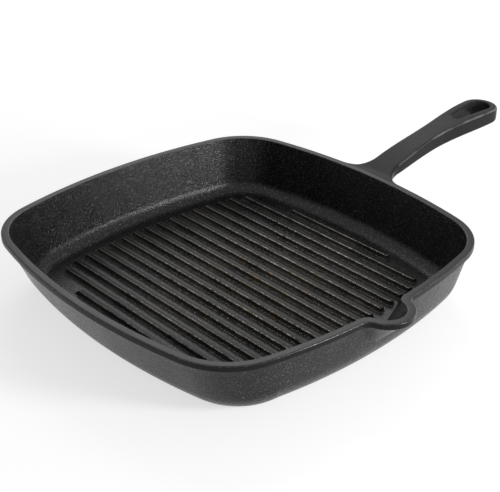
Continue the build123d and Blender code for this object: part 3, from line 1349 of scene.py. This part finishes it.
    def casting(self) -> Casting:
        """Builds the skin and the parting faces.

        Returns:
            The casting.
        """
        cast = Casting()
        stops, root_number, shank_number = self.rails()
        sections = [self._ring(stop) for stop in stops[: shank_number + 1]]
        sections[0] = [self._tuck(point) for point in sections[0]]
        rings = [cast.add(section) for section in sections]
        cast.part(tuple(rings[0]), Zone.ROOT)
        for number, (near, far) in enumerate(zip(rings, rings[1:])):
            zone = Zone.ROOT if number < root_number else Zone.SHANK
            for face in zip(near, far, far[1:] + far[:1], near[1:] + near[:1]):
                cast.cover(zone, face)
        cast.part(tuple(rings[root_number]), Zone.ROOT, Zone.SHANK)
        cast.part(tuple(rings[-1]), Zone.SHANK, Zone.EYE)
        self._eye(cast, stops[shank_number:], rings[-1])
        # Painted highlight: points on the grip's upper edge rounds get the lighter edge colour, which stands
        # for the lamp's highlight along them.
        least, most = self.painted_highlight_drops
        for number, (x, y, z) in enumerate(cast.points):
            drop = (self.top_height(x) - z) / self.top_round
            if x > self.flare_x and least < drop < most and not self._beside_slot(x, y):
                cast.wear_and_highlight[number] = self.edge_wear_and_highlight
        return cast

    def _slot_circle(self, x: float) -> Plan:
        """Finds the slot's circle nearest to a place.

        Args:
            x: The place along the handle.

        Returns:
            Middle and radius of the circle.
        """
        middle = min(max(x, self.slot_start), self.slot_end)
        share = (middle - self.slot_start) / (self.slot_end - self.slot_start)
        return middle, between(self.slot_narrow, self.slot_wide, share)

    def _beside_slot(self, x: float, y: float) -> bool:
        """Tells whether a point of the plan lies in the slot or on its rounded edge."""
        middle, radius = self._slot_circle(x)
        return math.hypot(x - middle, y) < radius + self.slot_reach

    def _slot_column(self, x: float, y: float) -> list[Point]:
        """Lists the section of the slot's edge nearest to a point.

        Args:
            x: The point's place along the handle.
            y: Its place across the handle.

        Returns:
            The points from the underside up.
        """
        middle, radius = self._slot_circle(x)
        length = math.hypot(x - middle, y)
        out = ((x - middle) / length, y / length)
        edge = (middle + out[0] * radius, out[1] * radius)
        return self._column(RailStop(edge, (-out[0], -out[1]), self.slot_round, self.slot_round))[::-1]

    def _eye(self, cast: Casting, stops: list[RailStop], last_ring: list[int]) -> None:
        """Adds the end of the handle round the slot.

        Args:
            cast: The casting.
            stops: Stops of the left edge from the end of the shank to the tip.
            last_ring: Last ring of the shank, which the end shares.
        """
        rows = 2 * (self.round_steps + 1)
        steps = self.cross_steps - 1
        left, under = last_ring[:rows], last_ring[rows : rows + steps]
        right, above = last_ring[rows + steps : 2 * rows + steps], last_ring[2 * rows + steps :]
        mirrored = [stop.mirrored() for stop in reversed(stops[1:-1])]
        columns = [left, *(cast.add(self._column(stop)) for stop in stops[1:] + mirrored), right[::-1]]
        rails = len(columns)
        columns += [[top, foot] for top, foot in zip(above, reversed(under))]
        lines = []
        for column in columns:
            high, low = cast.points[column[0]], cast.points[column[-1]]
            slot = self._slot_column(high[0], high[1])
            below = self._crossing(low, slot[0], False, self.ring_steps)
            above_slot = self._crossing(slot[-1], high, True, self.ring_steps)
            lines.append([column[-1], *cast.add(below + slot + above_slot), column[0]])
        for number, column in enumerate(columns):
            after = (number + 1) % len(columns)
            mine, theirs = lines[number], lines[after]
            if number < rails - 1:
                mine, theirs = column[:-1] + mine, columns[after][:-1] + theirs
            for face in zip(mine, theirs, theirs[1:], mine[1:]):
                cast.cover(Zone.EYE, face)

    def build(self, materials: Materials) -> None:
        """Makes the three pieces.

        Args:
            materials: Material of each slot.
        """
        cast = self.casting()
        for zone, name, node in (
            (Zone.ROOT, "flared_handle_root", "handle_root"),
            (Zone.SHANK, "rising_handle_shank", "handle_shank"),
            (Zone.EYE, "handle_end_with_eye", "hanging_eye"),
        ):
            seat(cast.piece(zone, name), Slot.HANDLE, (node,), materials)


@dataclass(frozen=True)
class RibTree:
    """Geometry Nodes tree that sets one rib at every pitch and stretches it to the edge of the field."""

    name: str = "grill_rib_field"
    centre_name: str = "rib_x"
    ray_length: float = 1.0
    inputs: tuple[tuple[str, str], ...] = (
        ("Rib", "NodeSocketObject"),
        ("Field", "NodeSocketObject"),
        ("Count", "NodeSocketInt"),
        ("Pitch", "NodeSocketFloat"),
        ("First X", "NodeSocketFloat"),
        ("Floor Level", "NodeSocketFloat"),
        ("Rib Half Length", "NodeSocketFloat"),
        ("Material", "NodeSocketMaterial"),
    )

    def build(self) -> bpy.types.NodeTree:
        """Makes the tree.

        Returns:
            The tree, with its named inputs.
        """
        tree = bpy.data.node_groups.new(self.name, "GeometryNodeTree")
        for name, kind in self.inputs:
            tree.interface.new_socket(name=name, in_out="INPUT", socket_type=kind)
        tree.interface.new_socket(name="Geometry", in_out="OUTPUT", socket_type="NodeSocketGeometry")
        wiring = Wiring(tree)
        given = wiring.node("NodeGroupInput").outputs
        start = self._vector(wiring, given["First X"], None, given["Floor Level"])
        line = wiring.node("GeometryNodeMeshLine", {
            "Count": given["Count"], "Start Location": start, "Offset": self._vector(wiring, given["Pitch"]),
        })
        kept = wiring.node("GeometryNodeStoreNamedAttribute", {
            "Geometry": line.outputs["Mesh"], "Name": self.centre_name, "Value": self._position(wiring)["X"],
        }, data_type="FLOAT")
        copies = wiring.node("GeometryNodeInstanceOnPoints", {
            "Points": kept.outputs["Geometry"], "Instance": self._object(wiring, given["Rib"]),
        })
        real = wiring.node("GeometryNodeRealizeInstances", {"Geometry": copies.outputs["Instances"]})
        offset = self._vector(wiring, None, self._stretch(wiring, given))
        inputs = {"Geometry": real.outputs["Geometry"], "Offset": offset}
        moved = wiring.node("GeometryNodeSetPosition", inputs)
        dressed = wiring.node("GeometryNodeSetMaterial", {
            "Geometry": moved.outputs["Geometry"], "Material": given["Material"],
        })
        wiring.node("NodeGroupOutput", {"Geometry": dressed.outputs["Geometry"]})
        return tree

    def _vector(self, wiring: Wiring, *parts: Socket | None) -> Socket:
        """Joins up to three sockets to a vector, with zero for one that is missing."""
        return wiring.node("ShaderNodeCombineXYZ", dict(enumerate(parts))).outputs["Vector"]

    def _position(self, wiring: Wiring) -> bpy.types.NodeOutputs:
        """Adds the place of a point, in its three parts."""
        place = wiring.node("GeometryNodeInputPosition").outputs["Position"]
        return wiring.node("ShaderNodeSeparateXYZ", {"Vector": place}).outputs

    def _object(self, wiring: Wiring, given: Socket) -> Socket:
        """Adds the geometry of an object that the tree is given."""
        return wiring.node("GeometryNodeObjectInfo", {"Object": given}).outputs["Geometry"]

    def _reach(self, wiring: Wiring, given: bpy.types.NodeOutputs, way: float) -> Socket:
        """Measures how far the field reaches from the middle of a rib.

        Args:
            wiring: Wiring of the tree.
            given: Inputs of the tree.
            way: 1 towards the far side, -1 towards the lip.

        Returns:
            The socket with the distance.
        """
        centre = wiring.node("GeometryNodeInputNamedAttribute", {"Name": self.centre_name}, data_type="FLOAT")
        return wiring.node("GeometryNodeRaycast", {
            "Target Geometry": self._object(wiring, given["Field"]),
            "Source Position": self._vector(wiring, centre.outputs["Attribute"], None, given["Floor Level"]),
            "Ray Direction": (0.0, way, 0.0),
            "Ray Length": self.ray_length,
        }).outputs["Hit Distance"]

    def _stretch(self, wiring: Wiring, given: bpy.types.NodeOutputs) -> Socket:
        """Moves each half of a rib out to its end, so that the ends keep their shape.

        Args:
            wiring: Wiring of the tree.
            given: Inputs of the tree.

        Returns:
            The socket with the move along the rib.
        """
        half = given["Rib Half Length"]
        far = wiring.math("SUBTRACT", self._reach(wiring, given, 1.0), half)
        near = wiring.math("SUBTRACT", half, self._reach(wiring, given, -1.0))
        y = self._position(wiring)["Y"]
        side = wiring.node("FunctionNodeCompare", {"A": y}, operation="GREATER_THAN")
        inputs = {"Switch": side.outputs["Result"], "False": near, "True": far}
        return wiring.node("GeometryNodeSwitch", inputs, input_type="FLOAT").outputs["Output"]


@dataclass
class GrillRibs:
    """The parallel ribs of the cooking face."""

    count: int = 18
    pitch: float = 11.04
    height: float = 3.6
    crest_half: float = 1.85
    draft: float = 5.0
    crest_round: float = 0.8
    foot_round: float = 0.8
    foot_share: float = 0.95
    foot_painted_highlight: float = 0.6
    end_round: float = 0.9
    least_round: float = 0.12
    sunk: float = 0.15
    far_ramp: float = 3.6
    round_steps: int = 4
    corner_steps: int = 5
    blank_half: float = 10.0
    floor_level: float = 6.2
    field_middle: float = 7.12
    field_shift: float = -0.65
    field_half: float = 96.8
    field_lip: float = 92.03
    field_far: float = 98.93
    field_side_radius: float = 485.0
    field_corner_radius: float = 26.0
    field_rise: float = 5.0

    def measure(self) -> None:
        """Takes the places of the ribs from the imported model."""
        first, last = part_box("grill_rib_01"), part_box(f"grill_rib_{self.count:02d}")
        low, high = (first[0].x + first[1].x) / 2, (last[0].x + last[1].x) / 2
        self.pitch = (high - low) / (self.count - 1) / MM
        self.field_middle = (low + high) / 2 / MM
        self.floor_level = first[0].z / MM
        self.height = (first[1].z - first[0].z) / MM

    def profile(self) -> list[Point]:
        """Lists the section of a rib from its foot to its crest.

        Returns:
            Distance outside the crest's edge, height above the floor, and the share of edge colour for each
            loop: real wear with a painted highlight on the crest's rounds, and a painted highlight on the
            foot's round.
        """
        lean = math.tan(math.radians(self.draft))
        foot_reach = self.height * lean + self.foot_round
        side = self.height - self.crest_round
        foot, crest = [], []
        for step in range(self.round_steps + 1):
            share = step / self.round_steps
            angle = math.radians(between(90.0, self.draft, share))
            reach = foot_reach - self.foot_round * math.cos(angle) * self.foot_share
            # The foot's round gets a painted highlight through the lighter edge colour.
            foot.append((reach, self.foot_round * (1 - math.sin(angle)), self.foot_painted_highlight))
            angle = math.radians(between(self.draft, 90.0, share))
            reach = self.crest_round * (math.cos(angle) - 1 + lean * (1 - share))
            # The crest's rounds are worn, and their lighter edge colour is also a painted highlight.
            crest.append((reach, side + self.crest_round * math.sin(angle), 1.0 if 0 < share < 1 else 0.0))
        return [(foot_reach, -self.sunk, 0.0), *foot, *crest]

    def _loop(self, reach: float, level: float) -> list[Point]:
        """Rounded rectangle round the rib's crest, drawn out at the far end, which runs down as a ramp.

        Args:
            reach: How far outside the crest's edge it lies.
            level: Its height above the floor.

        Returns:
            The points, against the clock.
        """
        radius = max(self.end_round + reach, self.least_round)
        half_x, half_y = self.crest_half + reach - radius, self.blank_half + reach - radius
        far_y = half_y + self.far_ramp * min(1.0, 1.0 - level / self.height)
        points = []
        centres = ((half_x, far_y), (-half_x, far_y), (-half_x, -half_y), (half_x, -half_y))
        for number, centre in enumerate(centres):
            start = QUARTER * number
            corner = arc(centre, radius, start, start + QUARTER, self.corner_steps)
            points += [(x, y, level) for x, y in corner]
        return points

    def blank(self) -> bpy.types.Object:
        """Makes one short rib that stands for all of them.

        Returns:
            The object, closed, with its foot at height zero.
        """
        profile = self.profile()
        loops = [self._loop(reach, level) for reach, level, _ in profile]
        size = len(loops[0])
        rows = [list(range(number * size, (number + 1) * size)) for number in range(len(loops))]
        sides = [face for low, high in zip(rows, rows[1:]) for face in ring_faces(low, high)]
        mesh = bpy.data.meshes.new("rib_blank")
        places = in_metres([point for loop in loops for point in loop])
        mesh.from_pydata(places, [], [rows[0][::-1], *sides, rows[-1]])
        # Edge colour of each loop: worn crest edges with a painted highlight, and a painted highlight at the
        # foot.
        wear_and_highlight = [wear_and_highlight_value for _, _, wear_and_highlight_value in profile for _ in range(size)]
        mesh.attributes.new(WEAR_AND_HIGHLIGHT, "FLOAT", "POINT").data.foreach_set("value", wear_and_highlight)
        mesh.shade_smooth()
        return link("rib_blank", mesh)

    def field(self) -> bpy.types.Object:
        """Makes the upright strip round the field that the ribs reach to.

        Returns:
            The strip's object.
        """
        reaches = (self.field_half, self.field_half, self.field_lip, self.field_far)
        outline = Outline(*reaches, self.field_side_radius, self.field_corner_radius, NO_NOSE)
        plan = [(x + self.field_middle + self.field_shift, y) for x, y in outline.points(Counts())]
        levels = (self.floor_level - self.field_rise, self.floor_level + self.field_rise)
        points = [(x, y, level) for level in levels for x, y in plan]
        low, high = list(range(len(plan))), list(range(len(plan), len(points)))
        mesh = bpy.data.meshes.new("rib_field_edge")
        mesh.from_pydata(in_metres(points), [], ring_faces(low, high))
        return link("rib_field_edge", mesh)

    def build(self, materials: Materials) -> None:
        """Runs the tree and bakes the ribs into one piece.

        Args:
            materials: Material of each slot.
        """
        self.measure()
        helpers = {"Rib": self.blank(), "Field": self.field()}
        values = {
            **helpers,
            "Count": self.count,
            "Pitch": self.pitch * MM,
            "First X": (self.field_middle - self.pitch * (self.count - 1) / 2) * MM,
            "Floor Level": self.floor_level * MM,
            "Rib Half Length": self.blank_half * MM,
            "Material": materials[Slot.RIBS],
        }
        carrier = link("rib_carrier", bpy.data.meshes.new("rib_carrier"))
        modifier = carrier.modifiers.new("rib_field", "NODES")
        modifier.node_group = RibTree().build()
        for item in modifier.node_group.interface.items_tree:
            if item.in_out == "INPUT":
                modifier[item.identifier] = values[item.name]
        ready = carrier.evaluated_get(bpy.context.evaluated_depsgraph_get())
        piece = link("parallel_grill_ribs", bpy.data.meshes.new_from_object(ready))
        for helper in (carrier, *helpers.values()):
            bpy.data.objects.remove(helper)
        nodes = tuple(f"grill_rib_{number + 1:02d}" for number in range(self.count))
        seat(piece, Slot.RIBS, nodes, materials)


def main() -> None:
    """Builds the scene in order and reports each piece."""
    logging.basicConfig(level=logging.INFO, format="%(message)s")
    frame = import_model()
    LOG.info("frame has %d nodes", len(frame["nodes"]))
    bpy.context.scene.view_settings.view_transform = "Standard"
    PhotoCamera().build()
    Studio().build()
    materials = {slot: finish.material() for slot, finish in FINISHES.items()}
    PanBody().build(materials)
    GrillRibs().build(materials)
    Handle().build(materials)


if __name__ == "__main__":
    main()
